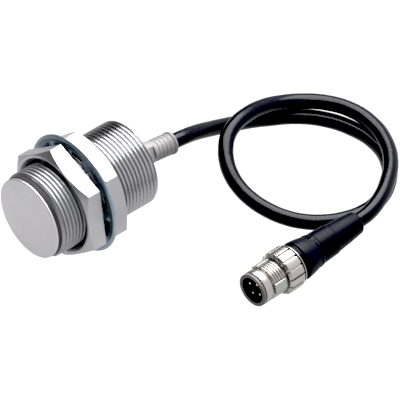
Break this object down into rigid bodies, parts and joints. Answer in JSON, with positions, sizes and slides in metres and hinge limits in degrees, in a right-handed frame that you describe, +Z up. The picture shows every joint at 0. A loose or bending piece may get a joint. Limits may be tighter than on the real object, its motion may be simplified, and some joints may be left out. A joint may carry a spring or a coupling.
{
  "type": "proximity sensor",
  "caption": "Cylindrical M30 inductive proximity sensor with two clamping nuts, a toothed washer and a short lead that ends in an M12 plug.",
  "frame": {"origin": "centre of the sensing face, on the barrel's axis", "axes": "-Y looks out of the sensing face, +Y runs back along the barrel towards the cable, +Z is up as it lies on a table"},
  "size_m": [0.0903, 0.1274, 0.042],
  "materials": {
    "face_steel": "satin stainless steel",
    "barrel_steel": "machined stainless steel",
    "nut_nickel": "nickel plated, fine machined",
    "washer_zinc": "blue zinc plated spring steel",
    "nickel": "satin nickel plated brass",
    "white_plastic": "moulded",
    "ferrite": "sintered",
    "copper": "enamelled copper winding",
    "gold_pin": "gold plated",
    "board": "solder resist",
    "chip_black": "moulded epoxy",
    "chip_ceramic": "ceramic",
    "lamp": "clear tinted",
    "brown_insulation": "vinyl",
    "blue_insulation": "vinyl",
    "black_insulation": "vinyl",
    "resin": "cast epoxy",
    "seal_rubber": "moulded",
    "sleeve_plastic": "translucent grey",
    "cable_jacket": "smooth vinyl",
    "boot_vinyl": "satin vinyl",
    "black_plastic": "fine moulded texture",
    "carrier_plastic": "moulded"
  },
  "bodies": {
    "sensor": {"sensing_face": "face_steel", "threaded_barrel": "barrel_steel", "coil_case": "white_plastic", "ferrite_core": "ferrite", "coil_bobbin": "white_plastic", "sensing_coil": "copper", "bobbin_pin_1": "gold_pin", "bobbin_pin_2": "gold_pin", "circuit_board": "board", "oscillator_ic": "chip_black", "output_transistor": "chip_black", "surge_diode": "chip_black", "chip_capacitor_1": "chip_ceramic", "chip_capacitor_2": "chip_ceramic", "chip_resistor_1": "chip_black", "chip_resistor_2": "chip_black", "indicator_led": "lamp", "conductor_brown": "brown_insulation", "conductor_blue": "blue_insulation", "conductor_black": "black_insulation", "potting_plug": "resin", "rear_cap": "black_plastic", "cap_seal_ring": "seal_rubber", "cable_clamp": "nickel", "cable_protector": "sleeve_plastic", "cable_gripped_end": "cable_jacket", "cable": "cable_jacket", "contact_carrier": "carrier_plastic", "contact_pin_1": "gold_pin", "contact_pin_2": "gold_pin", "contact_pin_3": "gold_pin", "contact_pin_4": "gold_pin", "retaining_ring": "nickel", "plug_inner_mould": "black_plastic", "plug_shell": "black_plastic", "plug_boot": "boot_vinyl"},
    "front_nut": {"clamping_nut_front": "nut_nickel"},
    "rear_nut": {"clamping_nut_rear": "nut_nickel"},
    "washer": {"toothed_washer": "washer_zinc"},
    "coupling": {"coupling_sleeve": "nickel", "grip_ring": "nickel"}
  },
  "joints": [
    {"name": "washer_slide", "type": "slide", "parent": "sensor", "child": "washer", "axis": [0, -1, 0], "range_m": [0, 0.0075]},
    {"name": "front_nut_turn", "type": "hinge", "parent": "washer", "child": "front_nut", "pos_m": [0, 0.0135, 0], "axis": [0, -1, 0], "range_deg": [0, 1800]},
    {"name": "rear_nut_turn", "type": "hinge", "parent": "sensor", "child": "rear_nut", "pos_m": [0, 0.0234, 0], "axis": [0, -1, 0], "continuous": true},
    {"name": "coupling_turn", "type": "hinge", "parent": "sensor", "child": "coupling", "pos_m": [0.0625, 0.0417, -0.0134], "axis": [-0.0604, 0.9982, 0], "continuous": true}
  ],
  "couplings": [
    {"joint": "front_nut_turn", "follows": "washer_slide", "rad_per_m": 4188.8}
  ]
}
